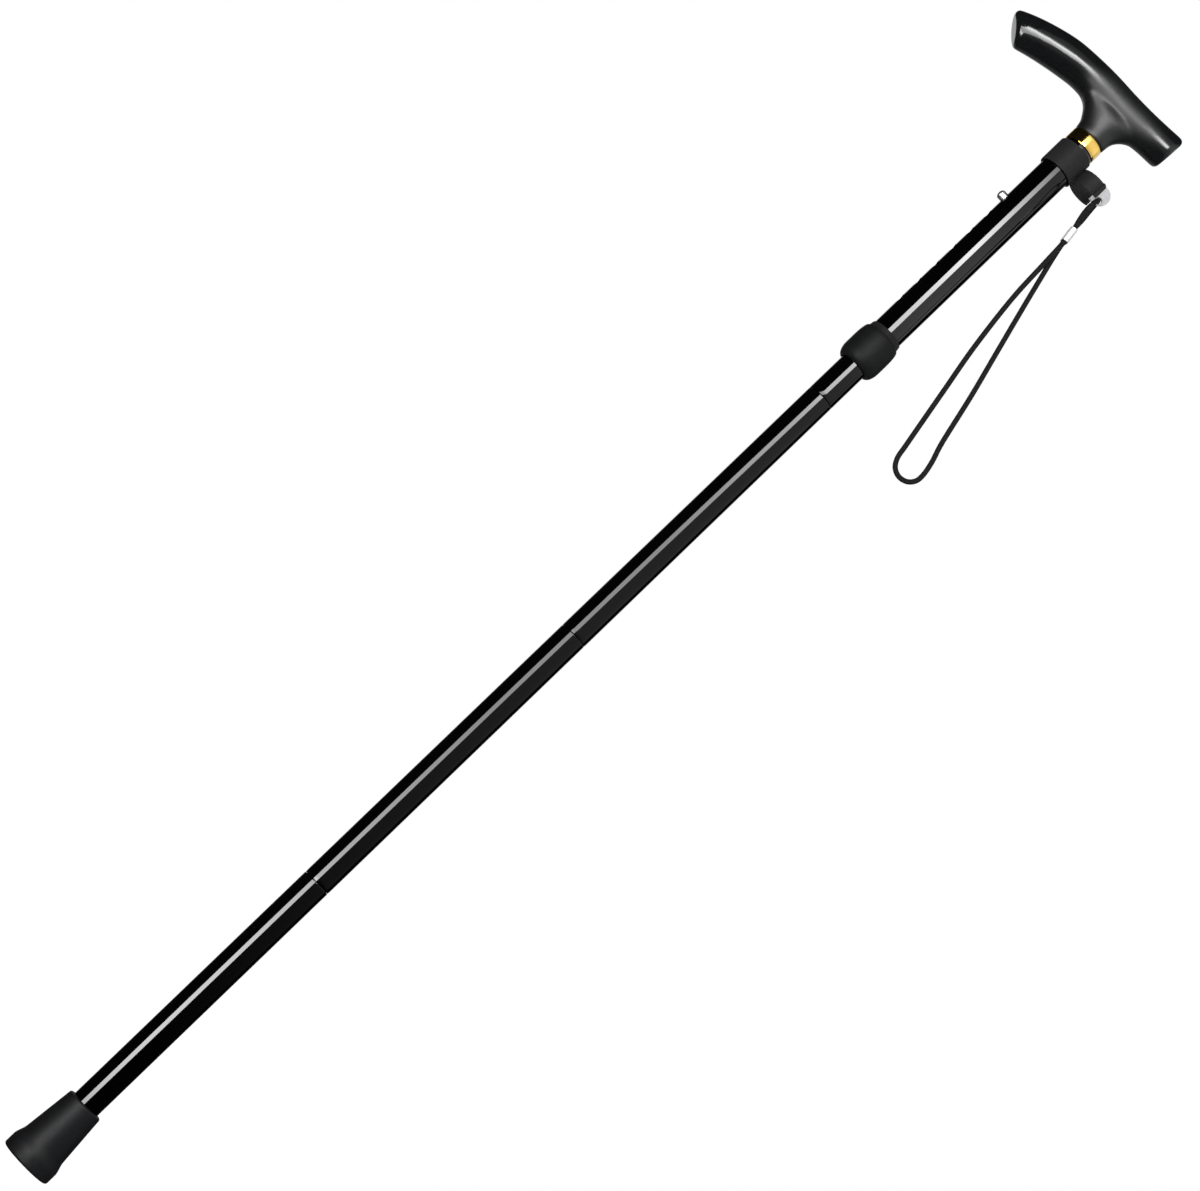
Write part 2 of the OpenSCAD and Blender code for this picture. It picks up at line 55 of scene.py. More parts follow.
# Heights and radii of the frame, in metres
HANDLE_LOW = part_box("handle_grip")[0]
COLLAR_LOW, COLLAR_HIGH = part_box("brass_collar")
UPPER_LOW, UPPER_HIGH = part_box("upper_tube")
INNER_LOW, INNER_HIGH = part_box("inner_tube")
NUT_LOW, NUT_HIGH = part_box("locking_nut")
TIP_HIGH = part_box("rubber_tip")[1]
BUTTON_LOW, BUTTON_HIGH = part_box("snap_button")
LOWER_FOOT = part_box("lower_section")[0].z
SEAMS = [INNER_LOW.z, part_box("upper_section")[0].z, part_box("middle_section")[0].z]
SECTION_R = INNER_HIGH.x
UPPER_R = UPPER_HIGH.x
BUTTON_Z = (BUTTON_LOW.z + BUTTON_HIGH.z) / 2
WALL = 1.2 * MM
BORE_R = SECTION_R - WALL


# Colour and node helpers

def linear(hex_colour):
    """sRGB hex to linear: below 0.04045 a twelfth part, above it a power of 2.4."""
    srgb = np.array([int(hex_colour[i:i + 2], 16) for i in (1, 3, 5)]) / 255
    low, high = srgb / 12.92, ((srgb + 0.055) / 1.055) ** 2.4
    return (*np.where(srgb <= 0.04045, low, high).tolist(), 1.0)


def add(tree, kind, inputs=None, **settings):
    """Adds one node, with its settings, its socket values and its links."""
    node = tree.nodes.new(kind)
    for name, value in settings.items():
        setattr(node, name, value)
    for socket, value in (inputs or {}).items():
        if isinstance(value, bpy.types.NodeSocket):
            tree.links.new(value, node.inputs[socket])
        else:
            node.inputs[socket].default_value = value
    return node


def finish_of(name, colour, roughness, **sockets):
    """A new material with one Principled shader; returns the material, its tree and the shader."""
    material = bpy.data.materials.new(name)
    material.use_nodes = True
    tree = material.node_tree
    shader = tree.nodes["Principled BSDF"]
    shader.inputs["Base Color"].default_value = linear(colour)
    shader.inputs["Roughness"].default_value = roughness
    for socket, value in sockets.items():
        shader.inputs[socket.replace("_", " ")].default_value = value
    return material, tree, shader


def grain(tree, vector, size, detail=3.0):
    """Noise whose blotches are about `size` metres across."""
    return add(tree, "ShaderNodeTexNoise", {"Vector": vector, "Scale": 1 / size, "Detail": detail})


def mottled(tree, shader, factor, low, high, socket="Roughness"):
    """Drives one number of the shader between two values by a texture."""
    spread = add(tree, "ShaderNodeMapRange", {"Value": factor, "To Min": low, "To Max": high})
    tree.links.new(spread.outputs["Result"], shader.inputs[socket])


def tinted(tree, shader, factor, dark, light):
    """Drives the base colour between two colours by a texture."""
    mix = add(tree, "ShaderNodeMixRGB", {"Fac": factor, "Color1": linear(dark), "Color2": linear(light)})
    tree.links.new(mix.outputs["Color"], shader.inputs["Base Color"])


def embossed(tree, shader, height, depth, strength=1.0):
    """Bump whose full height is `depth` metres."""
    bump = add(tree, "ShaderNodeBump", {"Height": height, "Distance": depth, "Strength": strength})
    tree.links.new(bump.outputs["Normal"], shader.inputs["Normal"])


def place_of(tree):
    """The place on a piece, in metres of the shared frame."""
    return add(tree, "ShaderNodeTexCoord").outputs["Object"]


# Finishes

RUB_START, RUB_END = 12 * MM, 40 * MM


def gloss_black_enamel():
    """Stoved enamel on drawn aluminium tube: deep black, mirror-like, with a faint orange peel."""
    material, tree, shader = finish_of("gloss black stoved enamel", "#030303", 0.05, IOR=1.5)
    where = place_of(tree)
    mottled(tree, shader, grain(tree, where, 9 * MM).outputs["Fac"], 0.03, 0.07)
    embossed(tree, shader, grain(tree, where, 6 * MM, 1.0).outputs["Fac"], 0.002 * MM)
    return material


def moulded_black_handle():
    """Injection-moulded plastic: black, satin at the stem, rubbed to a gloss on nose and tail by the hand."""
    material, tree, shader = finish_of("polished black moulded plastic", "#161718", 0.11, IOR=1.5)
    where = place_of(tree)
    along = add(tree, "ShaderNodeSeparateXYZ", {"Vector": where}).outputs["X"]
    aside = add(tree, "ShaderNodeMath", {0: along}, operation="ABSOLUTE").outputs[0]
    satin = add(tree, "ShaderNodeMapRange", {"Value": aside, "From Min": RUB_START, "From Max": RUB_END,
                                             "To Min": 0.4, "To Max": 0.07}, interpolation_type="SMOOTHSTEP")
    patches = grain(tree, where, 14 * MM, 5.0).outputs["Fac"]
    patchy = add(tree, "ShaderNodeMath", {0: patches, 1: 0.06, 2: satin.outputs["Result"]},
                 operation="MULTIPLY_ADD")
    tree.links.new(patchy.outputs[0], shader.inputs["Roughness"])
    tinted(tree, shader, grain(tree, where, 6 * MM).outputs["Fac"], "#141516", "#1b1c1d")
    embossed(tree, shader, grain(tree, where, 1.1 * MM, 2.0).outputs["Fac"], 0.003 * MM)
    return material


def matt_black_abs(name="matt black moulded ABS", dark="#282828", light="#303030", shine=0.06):
    """Spark-eroded ABS: soft black that scatters light, with a fine pebbled skin, drawn coarse to show."""
    material, tree, shader = finish_of(name, dark, 0.55, IOR=1.52, Specular_IOR_Level=shine)
    where = place_of(tree)
    pebbles = add(tree, "ShaderNodeTexVoronoi", {"Vector": where, "Scale": 1 / (0.6 * MM)})
    tinted(tree, shader, grain(tree, where, 5 * MM).outputs["Fac"], dark, light)
    mottled(tree, shader, grain(tree, where, 4 * MM).outputs["Fac"], 0.45, 0.62)
    embossed(tree, shader, pebbles.outputs["Distance"], 0.02 * MM)
    return material


def black_rubber():
    """Moulded natural rubber: dull black with a slight bloom and a skin that catches a broad soft light."""
    material, tree, shader = finish_of("moulded black rubber", "#161719", 0.5, IOR=1.52,
                                       Specular_IOR_Level=0.16)
    where = place_of(tree)
    tinted(tree, shader, grain(tree, where, 8 * MM, 6.0).outputs["Fac"], "#121315", "#1c1d1f")
    mottled(tree, shader, grain(tree, where, 3 * MM).outputs["Fac"], 0.42, 0.6)
    embossed(tree, shader, grain(tree, where, 0.7 * MM).outputs["Fac"], 0.02 * MM)
    return material


def polished_gold():
    """Brass collar, turned, polished and lacquered: warm yellow metal with fine rings from the lathe."""
    material, tree, shader = finish_of("polished gold-coloured brass", "#f0c765", 0.1, Metallic=1.0)
    where = place_of(tree)
    rings = add(tree, "ShaderNodeTexWave", {"Vector": where, "Scale": 1 / (6 * 0.8 * MM), "Distortion": 0.6},
                bands_direction="Z")
    mottled(tree, shader, grain(tree, where, 5 * MM).outputs["Fac"], 0.07, 0.14)
    tinted(tree, shader, grain(tree, where, 7 * MM).outputs["Fac"], "#ebbf58", "#f6d27a")
    embossed(tree, shader, rings.outputs["Fac"], 0.0008 * MM)
    return material


def plain_steel(name="plain bright steel", colour="#c6c7c9", low=0.22, high=0.38):
    """Rolled or turned steel, lightly rubbed: grey mirror with a fine directionless haze."""
    material, tree, shader = finish_of(name, colour, low, Metallic=1.0)
    where = place_of(tree)
    mottled(tree, shader, grain(tree, where, 1.5 * MM, 6.0).outputs["Fac"], low, high)
    embossed(tree, shader, grain(tree, where, 0.5 * MM).outputs["Fac"], 0.004 * MM)
    return material


def light_grey_nylon():
    """Moulded natural nylon: pale grey and a little translucent, so its edges look bright."""
    material, tree, shader = finish_of("light grey moulded nylon", "#cacacd", 0.4, IOR=1.53,
                                       Specular_IOR_Level=0.2)
    shader.inputs["Subsurface Weight"].default_value = 0.25
    shader.inputs["Subsurface Radius"].default_value = (0.002, 0.002, 0.002)
    where = place_of(tree)
    tinted(tree, shader, grain(tree, where, 3 * MM).outputs["Fac"], "#c4c4c8", "#d2d2d4")
    mottled(tree, shader, grain(tree, where, 2 * MM).outputs["Fac"], 0.3, 0.45)
    return material


def braided_cord(name, dark, light, yarns, pitch):
    """Polyester braid over a core: two sets of yarns cross on the slant, each a low rounded ridge.

    The cord's UV map runs once round it in u and along it in metres in v. A yarn's place is u times the
    number of yarns plus or minus v over the pitch; the higher of the two sine ridges shows. The colour
    follows the ridges' height, so the grooves between the yarns carry painted shade.
    """
    material, tree, shader = finish_of(name, dark, 0.65, IOR=1.5, Specular_IOR_Level=0.12)
    shader.inputs["Sheen Weight"].default_value = 0.04
    uv = add(tree, "ShaderNodeSeparateXYZ", {"Vector": add(tree, "ShaderNodeTexCoord").outputs["UV"]})
    ridges = []
    for lean in (1, -1):
        along = add(tree, "ShaderNodeMath", {0: uv.outputs["Y"], 1: lean * math.tau / pitch},
                    operation="MULTIPLY")
        phase = add(tree, "ShaderNodeMath", {0: uv.outputs["X"], 1: math.tau * yarns, 2: along.outputs[0]},
                    operation="MULTIPLY_ADD")
        ridges.append(add(tree, "ShaderNodeMath", {0: phase.outputs[0]}, operation="SINE").outputs[0])
    over = add(tree, "ShaderNodeMath", {0: ridges[0], 1: ridges[1]}, operation="MAXIMUM").outputs[0]
    height = add(tree, "ShaderNodeMapRange", {"Value": over, "From Min": -0.6}).outputs["Result"]
    # painted shade: the colour darkens with the ridges' height down into the grooves between the yarns
    tinted(tree, shader, height, dark, light)
    embossed(tree, shader, height, 0.2 * MM)
    return material


# Mesh helpers

TURNS = 128
CORD_SIDES = 16
CORD_CREASE = 80
MERGE, COPY_MERGE = 1e-7, 1e-6
ROUND_SHARE = 0.48


def catmull(rows, steps):
    """Rows of numbers made finer by the cubic that passes through each row, with both ends held."""
    rows = np.asarray(rows, float)
    spans = np.arange(len(rows) - 1)
    a, b = rows[np.maximum(spans - 1, 0)], rows[spans]
    c, d = rows[spans + 1], rows[np.minimum(spans + 2, len(rows) - 1)]
    t = (np.arange(steps) / steps)[None, :, None]
    a, b, c, d = (part[:, None, :] for part in (a, b, c, d))
    curve = (2 * b + (c - a) * t + (2 * a - 5 * b + 4 * c - d) * t**2 + (3 * b - a - 3 * c + d) * t**3) / 2
    return np.vstack([curve.reshape(-1, rows.shape[1]), rows[-1:]])


def rounded(points, radii, steps=6):
    """Closed outline whose corners become quadratic curves that begin and end `radius` along the sides."""
    corner = np.asarray(points, float)
    radii = np.broadcast_to(np.asarray(radii, float), (len(corner),))
    to_last, to_next = np.roll(corner, 1, 0) - corner, np.roll(corner, -1, 0) - corner
    shorter = np.minimum(np.linalg.norm(to_last, axis=1), np.linalg.norm(to_next, axis=1))
    reach = np.minimum(radii, shorter * ROUND_SHARE)[:, None]
    begin = corner + to_last / np.linalg.norm(to_last, axis=1)[:, None] * reach
    end = corner + to_next / np.linalg.norm(to_next, axis=1)[:, None] * reach
    t = np.linspace(0, 1, steps + 1)[None, :, None]
    curve = (1 - t)**2 * begin[:, None] + 2 * t * (1 - t) * corner[:, None] + t**2 * end[:, None]
    return curve.reshape(-1, corner.shape[1])


def grid_faces(rows, columns, wrap_rows, wrap_columns):
    """Quads between neighbours of a grid of points, with each direction closed on itself if asked."""
    i = np.arange(rows if wrap_rows else rows - 1)[:, None]
    j = np.arange(columns if wrap_columns else columns - 1)[None, :]
    next_i, next_j = (i + 1) % rows, (j + 1) % columns
    quads = np.stack(np.broadcast_arrays(
        i * columns + j, next_i * columns + j, next_i * columns + next_j, i * columns + next_j), -1)
    return quads.reshape(-1, 4)


def tidied(mesh, merge=MERGE):
    """Doubles merged, faces without area dissolved, and all faces turned outwards."""
    shape = bmesh.new()
    shape.from_mesh(mesh)
    bmesh.ops.remove_doubles(shape, verts=shape.verts, dist=merge)
    bmesh.ops.dissolve_degenerate(shape, edges=shape.edges, dist=merge)
    bmesh.ops.recalc_face_normals(shape, faces=shape.faces)
    shape.to_mesh(mesh)
    shape.free()
    return mesh


def mesh_of(name, grids):
    """One mesh from several grids, each given as its points and whether its rows and columns close."""
    points = [grid.reshape(-1, 3) for grid, _, _ in grids]
    starts = np.cumsum([0] + [len(part) for part in points[:-1]])
    faces = [grid_faces(*grid.shape[:2], rows, columns) + start
             for (grid, rows, columns), start in zip(grids, starts)]
    mesh = bpy.data.meshes.new(name)
    mesh.from_pydata(np.vstack(points).tolist(), [], np.vstack(faces).tolist())
    return tidied(mesh)


def piece(name, mesh, material, body=None, replaces=(), sharp=40):
    """Puts a mesh into the scene as one piece that rides on a body."""
    obj = bpy.data.objects.new(name, mesh)
    bpy.context.scene.collection.objects.link(obj)
    mesh.materials.append(material)
    mesh.shade_smooth()
    mesh.set_sharp_from_angle(angle=math.radians(sharp))
    if body:
        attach(obj, body)
    if replaces:
        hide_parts(*replaces)
    return obj


def applied(obj, kind, **settings):
    """Adds a modifier and makes its result the mesh."""
    modifier = obj.modifiers.new(kind.lower(), kind)
    for name, value in settings.items():
        setattr(modifier, name, value)
    result = bpy.data.meshes.new_from_object(obj.evaluated_get(bpy.context.evaluated_depsgraph_get()))
    obj.modifiers.clear()
    old, obj.data = obj.data, result
    bpy.data.meshes.remove(old)
    return obj


def spaced(profile, step):
    """A closed profile whose sides are split into equal parts no longer than `step`."""
    profile = np.asarray(profile, float)
    side = np.roll(profile, -1, 0) - profile
    count = np.maximum(np.ceil(np.linalg.norm(side, axis=1) / step), 1).astype(int)
    share = (np.arange(count.sum()) - np.repeat(np.cumsum(count) - count, count)) / np.repeat(count, count)
    return np.repeat(profile, count, 0) + share[:, None] * np.repeat(side, count, 0)


def lathe(profile, turns=TURNS, closed=True, axis="Z"):
    """A profile of (radius, height) carried round an axis: cosine and sine of the turn times the radius."""
    profile = np.asarray(profile, float)
    angle = np.arange(turns) * math.tau / turns
    first = np.cos(angle)[:, None] * profile[None, :, 0]
    second = np.sin(angle)[:, None] * profile[None, :, 0]
    height = np.broadcast_to(profile[None, :, 1], first.shape)
    order = {"Z": (first, second, height), "X": (height, first, second)}[axis]
    return np.stack(order, -1), True, closed


def arc(middle, radii, start, end, steps=8):
    """Points on an ellipse: its middle plus each radius times the cosine or sine of an angle in degrees."""
    angle = np.radians(np.linspace(start, end, steps + 1))
    return np.stack([middle[0] + radii[0] * np.cos(angle), middle[1] + radii[1] * np.sin(angle)], 1)


def cut(obj, tool_mesh):
    """Takes the solid `tool_mesh` away from a piece."""
    tool = bpy.data.objects.new("tool", tool_mesh)
    bpy.context.scene.collection.objects.link(tool)
    applied(obj, "BOOLEAN", operation="DIFFERENCE", solver="EXACT", object=tool)
    bpy.data.objects.remove(tool)
    bpy.data.meshes.remove(tool_mesh)


def even_normals(obj, sharp=35):
    """Smooth shading that lets the large faces lead, so that a cut leaves no smear beside it."""
    obj.data.shade_smooth()
    obj.data.set_sharp_from_angle(angle=math.radians(sharp))
    return applied(obj, "WEIGHTED_NORMAL", keep_sharp=True)


def stand_in(obj, body, node):
    """Makes a piece ride on a body, in place of a frame node."""
    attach(obj, body)
    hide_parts(node)
    return obj


def node_copy(node):
    """The mesh of a frame node without its finish, with its doubles merged."""
    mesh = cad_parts[node].data.copy()
    mesh.materials.clear()
    return tidied(mesh, COPY_MERGE)


def moulded(obj, cell, rounds):
    """Rebuilds a piece on a fine grid of cells and smooths it, so that its edges are moulded round."""
    applied(obj, "REMESH", mode="VOXEL", voxel_size=cell, use_smooth_shade=True)
    applied(obj, "SMOOTH", factor=0.5, iterations=rounds)


def moulded_copy(name, node, material, body, cell, rounds):
    """A copy of a frame node with moulded edges, in place of the node."""
    obj = piece(name, node_copy(node), material)
    moulded(obj, cell, rounds)
    obj.data.shade_smooth()
    return stand_in(obj, body, node)


def tube_along(path, radius, sides):
    """A circle carried along a path: its two axes stay square to the path and to one fixed side vector."""
    path = np.asarray(path, float)
    way = np.gradient(path, axis=0)
    way /= np.linalg.norm(way, axis=1)[:, None]
    across = np.cross(np.array([1.0, 1.0, 0.0]), way)
    across /= np.linalg.norm(across, axis=1)[:, None]
    up = np.cross(way, across)
    angle = np.arange(sides + 1) * math.tau / sides
    ring = np.cos(angle)[None, :, None] * across[:, None] + np.sin(angle)[None, :, None] * up[:, None]
    return path[:, None] + radius * ring


def cord_mesh(name, path, radius, sides=CORD_SIDES, lengths=None):
    """A tube along a path with closed ends, and a UV map once round it and along it in metres.

    `lengths` gives the length of cord between neighbouring points, where it isn't their distance.
    """
    path = np.asarray(path, float)
    ends = [np.broadcast_to(path[k], (1, sides + 1, 3)) for k in (0, -1)]
    grid = np.concatenate([ends[0], tube_along(path, radius, sides), ends[1]])
    if lengths is None:
        lengths = np.linalg.norm(np.diff(path, axis=0), axis=1)
    along = np.concatenate([[0, 0], np.cumsum(lengths), [np.sum(lengths)]])
    around = np.arange(sides + 1) / sides
    uv = np.stack(np.broadcast_arrays(around[None, :], along[:, None]), -1).reshape(-1, 2)
    mesh = bpy.data.meshes.new(name)
    faces = grid_faces(*grid.shape[:2], False, False)
    mesh.from_pydata(grid.reshape(-1, 3).tolist(), [], faces.tolist())
    layer = mesh.uv_layers.new(name="round and along")
    corners = np.zeros(len(mesh.loops), int)
    mesh.loops.foreach_get("vertex_index", corners)
    layer.data.foreach_set("uv", uv[corners].ravel().astype(np.float32))
    return tidied(mesh)


# Camera: the photograph's view, with the cane leaning across the frame
CAMERA_PLACE = Vector((-0.0254, -1.7164, 0.1746))
CAMERA_TARGET = Vector((-0.0061, 0.0, 0.4548))
CAMERA_ROLL = math.radians(46.14)
CAMERA_LENS = 90


def add_camera():
    """The camera looks from its place to its target, then turns by the roll about that line."""
    ahead = (CAMERA_TARGET - CAMERA_PLACE).normalized()
    level = ahead.cross(Vector((0, 0, 1))).normalized()
    upright = level.cross(ahead)
    right = level * math.cos(CAMERA_ROLL) + upright * math.sin(CAMERA_ROLL)
    up = upright * math.cos(CAMERA_ROLL) - level * math.sin(CAMERA_ROLL)
    data = bpy.data.cameras.new("camera")
    data.lens = CAMERA_LENS
    camera = bpy.data.objects.new("camera", data)
    turn = Matrix((right, up, -ahead)).transposed().to_4x4()
    camera.matrix_world = Matrix.Translation(CAMERA_PLACE) @ turn
    bpy.context.scene.collection.objects.link(camera)
    bpy.context.scene.camera = camera


add_camera()

# Wrist strap: the route repeats the solid's points, in millimetres
STRAP_D = 3.2 * MM
STRAP_STEPS = 8
CRIMP_CELL = 0.18 * MM
CRIMP_ROUNDS = 4
STRAP_ROUTE = np.array([
    [32.4, -8.3, 809.5], [31.9, -8.3, 813], [31.9, -7.4, 817], [31.9, -5, 821.3], [31.6, -3.4, 825.4],
    [31.2, -3.1, 829], [30.8, -4, 832.4], [30.4, -6.4, 834.8], [30, -9.8, 835.7], [29.6, -13.2, 834.8],
    [29.2, -15.6, 832.4], [28.9, -16.5, 829], [28.9, -16.2, 825.4], [29.5, -14.7, 821.3], [30.7, -12.7, 817],
    [31.9, -11.7, 813], [32.7, -11.7, 807.6], [33.4, -11.7, 802.5], [33.8, -11.4, 796], [34.5, -10.9, 783],
    [36.2, -10.2, 755], [41.1, -10, 718], [47.1, -10, 686], [53.1, -10, 654.5], [54.9, -10, 645.2],
    [56.4, -10, 637.6], [59.6, -10, 632.4], [64.6, -10, 630.2], [70, -10, 631.4], [73.6, -10, 635.6],
    [74.2, -10, 641.5], [72.3, -10, 651], [68.2, -10, 664], [60.6, -10, 696], [52.2, -10, 727.5],
    [44.4, -9.8, 757], [37.6, -8.9, 784], [35.1, -8.5, 794.5], [33.4, -8.3, 802.5], [32.9, -8.3, 806],
]) * MM
strap_path = catmull(STRAP_ROUTE, STRAP_STEPS)
strap_finish = braided_cord("black braided polyester cord", "#0c0c0d", "#1b1b1c", 8, 2.6 * MM)
crimp_finish = plain_steel("pressed satin steel", "#f0f1f2", 0.6, 0.75)
crimp = moulded_copy("strap_ferrule", "strap_crimp", crimp_finish, "clip",
                     CRIMP_CELL, CRIMP_ROUNDS)
strap_mesh = cord_mesh("wrist_strap", strap_path, STRAP_D / 2)
strap = piece("wrist_strap", strap_mesh, strap_finish, "clip", ["strap_cord"], CORD_CREASE)


# Handle: the ovals of its bar and the levels of its stem, as shares of its sizes
GRIP_SIDES = 64
BAR_STEPS = 6
STEM_STEPS = 5
HANDLE_CELL = 0.7 * MM
HANDLE_ROUNDS = 45
GRIP_POWER = 2.1
END_ROUND = 2.2 * MM
NOSE_REACH = 87 * MM
TAIL_REACH = 41 * MM
HANDLE_H = 43 * MM
HANDLE_W = 24 * MM
STEM_R = 10.6 * MM
HANDLE_SWELL = 0.3 * MM
NOSE_SHARES = np.array([
    [0.982, 0.591, 0.797, 0.183, 0.78], [0.867, 0.702, 0.710, 0.242, 0.88],
    [0.717, 0.814, 0.591, 0.307, 0.95], [0.545, 0.907, 0.464, 0.363, 0.99],
    [0.376, 0.944, 0.333, 0.405, 1.00], [0.184, 0.960, 0.172, 0.391, 1.00],
    [0.000, 0.953, 0.000, 0.384, 0.98],
])
TAIL_SHARES = np.array([
    [0.341, 0.957, 0.317, 0.395, 0.96], [0.634, 0.974, 0.605, 0.433, 0.93],
    [0.944, 1.000, 0.917, 0.449, 0.90],
])
STEM_SHARES = np.array([
    [0.000, 1.00, 1.00, 1.00], [0.131, 1.08, 1.03, 1.01], [0.217, 1.27, 1.10, 1.03],
    [0.302, 1.51, 1.30, 1.06], [0.377, 1.87, 1.60, 1.08], [0.449, 2.55, 2.08, 1.05],
    [0.547, 3.20, 2.60, 0.94], [0.644, 2.80, 2.30, 0.76],
])
CAP_SHARES = np.array([[0.45, 0.12], [0.8, 0.42], [1.0, 0.85]])


def power_ring(middle, first, second):
    """Rings in the plane of two half axes: each times the cosine or sine raised to two over the power."""
    angle = np.arange(GRIP_SIDES) * math.tau / GRIP_SIDES
    turn = np.stack([np.cos(angle), np.sin(angle)])[:, None, :, None]
    wave = np.sign(turn) * np.abs(turn) ** (2 / GRIP_POWER)
    return middle[:, None] + wave[0] * first[:, None] + wave[1] * second[:, None]


def closed_loft(rings):
    """A loft with its two ends drawn to their middle points."""
    ends = [np.broadcast_to(rings[k].mean(0), rings[k].shape) for k in (0, -1)]
    return np.concatenate([ends[0][None], rings, ends[1][None]]), False, True


def grip_bar():
    """The bar: ovals between a top line and a bottom line, with a few drawn-in ovals at each end.

    A row gives the reach and height of an oval's top, those of its bottom, and its half width.
    """
    scale = np.array([1, HANDLE_H, 1, HANDLE_H, HANDLE_W / 2])
    nose = NOSE_SHARES * scale * [-NOSE_REACH, 1, -NOSE_REACH, 1, 1]
    tail = TAIL_SHARES * scale * [TAIL_REACH, 1, TAIL_REACH, 1, 1]
    rows = catmull(np.vstack([nose, tail]), BAR_STEPS)
    out = np.zeros(len(rows) + 2 * len(CAP_SHARES))
    drawn = out.copy()
    count = len(CAP_SHARES)
    out[:count], out[-count:] = -END_ROUND * CAP_SHARES[::-1, 0], END_ROUND * CAP_SHARES[:, 0]
    drawn[:count], drawn[-count:] = END_ROUND * CAP_SHARES[::-1, 1], END_ROUND * CAP_SHARES[:, 1]
    rows = np.vstack([rows[:1].repeat(count, 0), rows, rows[-1:].repeat(count, 0)])
    zero = np.zeros(len(rows))
    top = np.stack([rows[:, 0], zero, HANDLE_LOW.z + rows[:, 1]], 1)
    low = np.stack([rows[:, 2], zero, HANDLE_LOW.z + rows[:, 3]], 1)
    half = np.linalg.norm(top - low, axis=1)[:, None] / 2
    up = (top - low) / (2 * half)
    ahead = np.stack([up[:, 2], zero, -up[:, 0]], 1)
    side = np.array([0, -1, 0]) * (rows[:, 4] - drawn)[:, None]
    return closed_loft(power_ring((top + low) / 2 + ahead * out[:, None], up * (half - drawn[:, None]), side))


def grip_stem():
    """The stem: ovals that start round at the collar and flare into the bar.

    A row gives a level's height, and its reach to the nose, to the tail and sideways.
    """
    rows = catmull(STEM_SHARES, STEM_STEPS)
    zero = np.zeros(len(rows))
    middle = np.stack([(rows[:, 2] - rows[:, 1]) * STEM_R / 2, zero, HANDLE_LOW.z + rows[:, 0] * HANDLE_H], 1)
    along = np.stack([(rows[:, 2] + rows[:, 1]) * STEM_R / 2, zero, zero], 1)
    across = np.stack([zero, rows[:, 3] * STEM_R, zero], 1)
    return closed_loft(power_ring(middle, along, across))


def add_handle(material):
    """Bar and stem fused on a fine grid of cells, smoothed, and swelled by what the smoothing takes off."""
    handle = piece("moulded_handle", mesh_of("handle", [grip_bar(), grip_stem()]), material)
    moulded(handle, HANDLE_CELL, HANDLE_ROUNDS)
    applied(handle, "DISPLACE", strength=HANDLE_SWELL, mid_level=0)
    handle.data.shade_smooth()
    stand_in(handle, "handle", "handle_grip")


add_handle(moulded_black_handle())


# Tubes

RIM_L = 2.5 * MM
RIM_IN = 0.12 * MM
RIM_EDGE = 0.2 * MM
RIM_BREAK = 0.3 * MM
END_L = 2 * MM
END_BREAK = 0.25 * MM
SHOULDER_ROUND = 0.5 * MM
SEAM_GAP = 0.2 * MM
NOSE_L = 10 * MM
SWEEP_R = 17.25 * MM
PIVOT_X = 9.8 * MM
SHOCK_HOLE_R = 2.5 * MM
NOSE_LIP = 2 * MM
NOSE_ROOT = 4 * MM
RING_STEP = 4 * MM
BUTTON_HOLE_R = 3.3 * MM
HOLE_PITCH = 15 * MM
HOLE_COUNT = 7
HOLE_SIDES = 64


def rolled_rim(radius, bore, low):
    """The lower end of a tube, drawn in by a squared curve over its last millimetres and rounded inside."""
    t = np.linspace(0, 1, 8)
    outside = np.stack([radius - RIM_IN * (1 - t)**2, low + RIM_EDGE + t * RIM_L], 1)
    inside = arc((bore + RIM_BREAK, low + RIM_BREAK), (RIM_BREAK, RIM_BREAK), 180, 270, 4)
    corner = arc((radius - RIM_IN - RIM_EDGE, low + RIM_EDGE), (RIM_EDGE, RIM_EDGE), -90, 0, 4)
    return np.vstack([inside, corner[:-1], outside])


def fold_nose(seam):
    """Shoulder and nose of a section: the nose is the circle the fold sweeps, less the pivot's offset."""
    shoulder = seam - SEAM_GAP
    middle = (SECTION_R - SHOULDER_ROUND, shoulder - SHOULDER_ROUND)
    edge = arc(middle, (SHOULDER_ROUND, SHOULDER_ROUND), 0, 90, 5)
    height = np.linspace(0, NOSE_L, 12)
    nose = np.stack([np.sqrt(SWEEP_R**2 - height**2) - PIVOT_X, seam + height], 1)
    top = seam + NOSE_L
    inside = [[SHOCK_HOLE_R, top], [SHOCK_HOLE_R, top - NOSE_LIP], [BORE_R, seam - NOSE_ROOT]]
    return np.vstack([edge, [[nose[0, 0], shoulder]], nose, inside])


def plain_end(first_r, second_r, end, side):
    """A square tube end with its two corners broken, from one wall to the other."""
    return rounded([[first_r, side], [first_r, end], [second_r, end], [second_r, side]], END_BREAK, 3)


def peg_tool(heights, reach):
    """Round pegs from the axis out to -X, one at each height."""
    shape = bmesh.new()
    for height in heights:
        place = Matrix.Translation((-reach / 2, 0, height)) @ Matrix.Rotation(math.pi / 2, 4, "Y")
        bmesh.ops.create_cone(shape, cap_ends=True, segments=HOLE_SIDES, radius1=BUTTON_HOLE_R,
                              radius2=BUTTON_HOLE_R, depth=reach, matrix=place)
    mesh = bpy.data.meshes.new("tool")
    shape.to_mesh(mesh)
    shape.free()
    return mesh


def tube_piece(name, profile, node, body, tools=()):
    """A turned tube in black enamel, with its holes cut, in place of its node."""
    tube = piece(name, mesh_of(name, [lathe(spaced(profile, RING_STEP))]), enamel)
    for tool in tools:
        cut(tube, tool)
    even_normals(tube)
    stand_in(tube, body, node)


